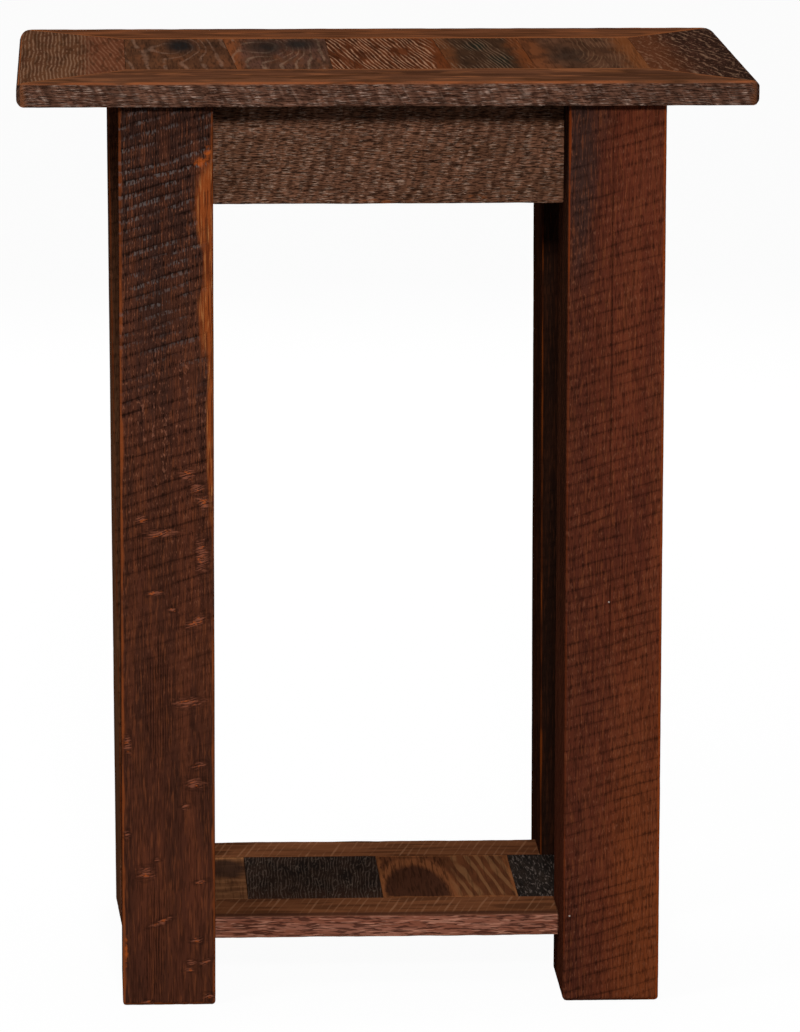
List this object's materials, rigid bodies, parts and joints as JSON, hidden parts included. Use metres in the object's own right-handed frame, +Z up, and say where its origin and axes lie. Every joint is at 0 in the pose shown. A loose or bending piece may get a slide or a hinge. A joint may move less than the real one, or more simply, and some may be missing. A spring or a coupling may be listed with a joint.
{
  "type": "nightstand",
  "caption": "Tall timber nightstand: overhanging rectangular top in a mitred frame, straight square-edged legs, deep aprons and a low shelf set back between the legs.",
  "frame": {"origin": "on the floor under the middle of the top's outline", "axes": "+Z up, the front faces -Y, +X to the right of someone facing the front"},
  "size_m": [0.594, 0.396, 0.762],
  "materials": {
    "leg_timber": "rough-sawn reclaimed softwood, dark red-brown stain, satin",
    "apron_oak": "rough-sawn reclaimed oak, grey-brown stain, satin",
    "top_frame_oak": "reclaimed oak, planed face and rough-sawn edges, brown stain, satin",
    "field_brown_wood": "reclaimed board with strong figure, brown stain, satin",
    "field_dark_wood": "weathered board, near-black brown, satin",
    "shelf_frame_wood": "reclaimed oak, rough-sawn, red-brown stain, satin",
    "core_plywood": "birch plywood, unfinished",
    "spline_beech": "beech, unfinished",
    "cleat_pine": "planed pine, brown stain",
    "screw_steel": "zinc-plated steel"
  },
  "bodies": {
    "root": {"top_front_band": "top_frame_oak", "top_rear_band": "top_frame_oak", "top_left_band": "top_frame_oak", "top_right_band": "top_frame_oak", "top_mitre_splines": "spline_beech", "top_core_panel": "core_plywood", "top_field_block_1": "field_brown_wood", "top_field_block_2": "field_brown_wood", "top_field_block_3": "field_brown_wood", "top_field_block_4": "field_brown_wood", "top_field_block_5": "field_brown_wood", "front_left_leg": "leg_timber", "front_right_leg": "leg_timber", "rear_left_leg": "leg_timber", "rear_right_leg": "leg_timber", "front_apron": "apron_oak", "rear_apron": "apron_oak", "left_apron": "apron_oak", "right_apron": "apron_oak", "front_cleat": "cleat_pine", "rear_cleat": "cleat_pine", "left_cleat": "cleat_pine", "right_cleat": "cleat_pine", "top_fixing_screws": "screw_steel", "cleat_screws": "screw_steel", "shelf_front_band": "shelf_frame_wood", "shelf_rear_band": "shelf_frame_wood", "shelf_left_edging": "shelf_frame_wood", "shelf_right_edging": "shelf_frame_wood", "shelf_core_panel": "core_plywood", "shelf_field_block_1": "field_brown_wood", "shelf_field_block_2": "field_dark_wood", "shelf_field_block_3": "field_brown_wood", "shelf_field_block_4": "field_dark_wood", "shelf_band_dowels": "spline_beech", "shelf_core_dowels": "spline_beech"}
  },
  "joints": []
}
